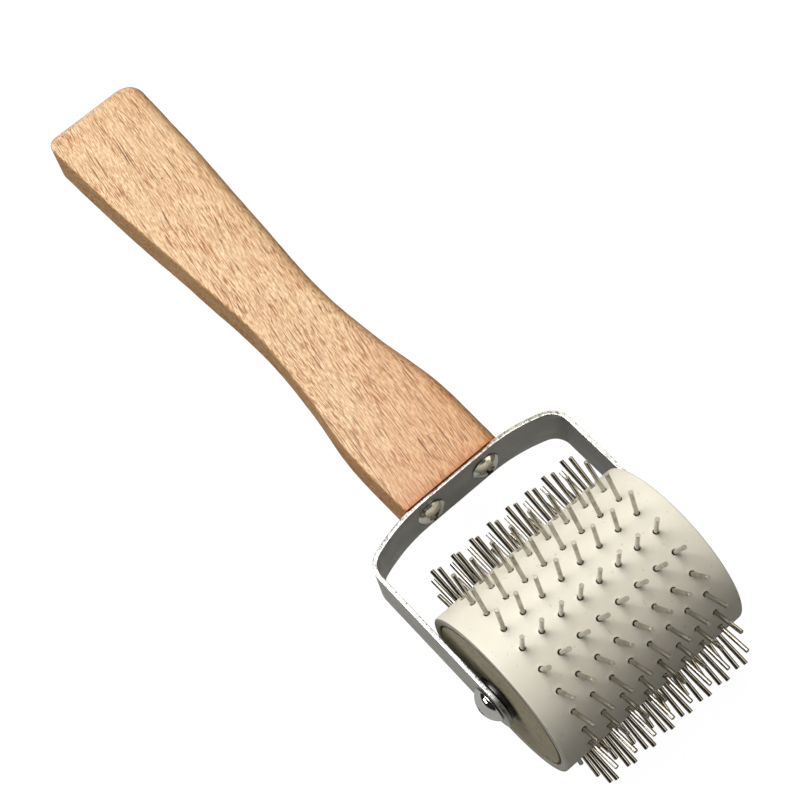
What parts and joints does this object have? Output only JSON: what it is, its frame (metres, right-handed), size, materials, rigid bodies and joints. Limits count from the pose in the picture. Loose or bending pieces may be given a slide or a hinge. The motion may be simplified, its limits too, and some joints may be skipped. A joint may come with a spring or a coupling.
{
  "type": "needle uncapping roller",
  "caption": "Hand tool for opening sealed honeycomb: a waisted wooden handle, a bent steel yoke and a free-spinning plastic drum set with rows of steel needles.",
  "frame": {"origin": "centre of the handle's flat butt end, on the tool's centre line", "axes": "+X forward along the handle to the drum, +Y parallel to the axle towards the holder's left arm of the yoke, +Z out of the handle's flat face"},
  "size_m": [0.2497, 0.0728, 0.0699],
  "materials": {
    "hardwood": "satin clear lacquer over open-pored hardwood",
    "strip_steel": "rolled steel strip with bright sheared edges",
    "screw_steel": "warm nickel plate",
    "bright_steel": "polished domed heads",
    "needle_steel": "bright drawn stainless wire, cut ends",
    "ivory_plastic": "satin ivory plastic tube",
    "core_board": "bare grey-brown end face",
    "dark_washer": "dull dark steel"
  },
  "bodies": {
    "frame": {"handle": "hardwood", "yoke": "strip_steel", "handle_screw_left": "screw_steel", "handle_screw_right": "screw_steel"},
    "roller": {"drum_sleeve": "ivory_plastic", "drum_core": "core_board", "pivot_screw_left": "bright_steel", "pivot_screw_right": "bright_steel", "pivot_washer_left": "dark_washer", "pivot_washer_right": "dark_washer", "needle_row_01": "needle_steel", "needle_row_02": "needle_steel", "needle_row_03": "needle_steel", "needle_row_04": "needle_steel", "needle_row_05": "needle_steel", "needle_row_06": "needle_steel", "needle_row_07": "needle_steel", "needle_row_08": "needle_steel", "needle_row_09": "needle_steel", "needle_row_10": "needle_steel", "needle_row_11": "needle_steel", "needle_row_12": "needle_steel", "needle_row_13": "needle_steel", "needle_row_14": "needle_steel", "needle_row_15": "needle_steel", "needle_row_16": "needle_steel", "needle_row_17": "needle_steel", "needle_row_18": "needle_steel", "needle_row_19": "needle_steel", "needle_row_20": "needle_steel", "needle_row_21": "needle_steel", "needle_row_22": "needle_steel", "needle_row_23": "needle_steel"}
  },
  "joints": [
    {"name": "roller_spin", "type": "hinge", "parent": "frame", "child": "roller", "pos_m": [0.2148, 0, 0], "axis": [0, 1, 0], "continuous": true}
  ]
}
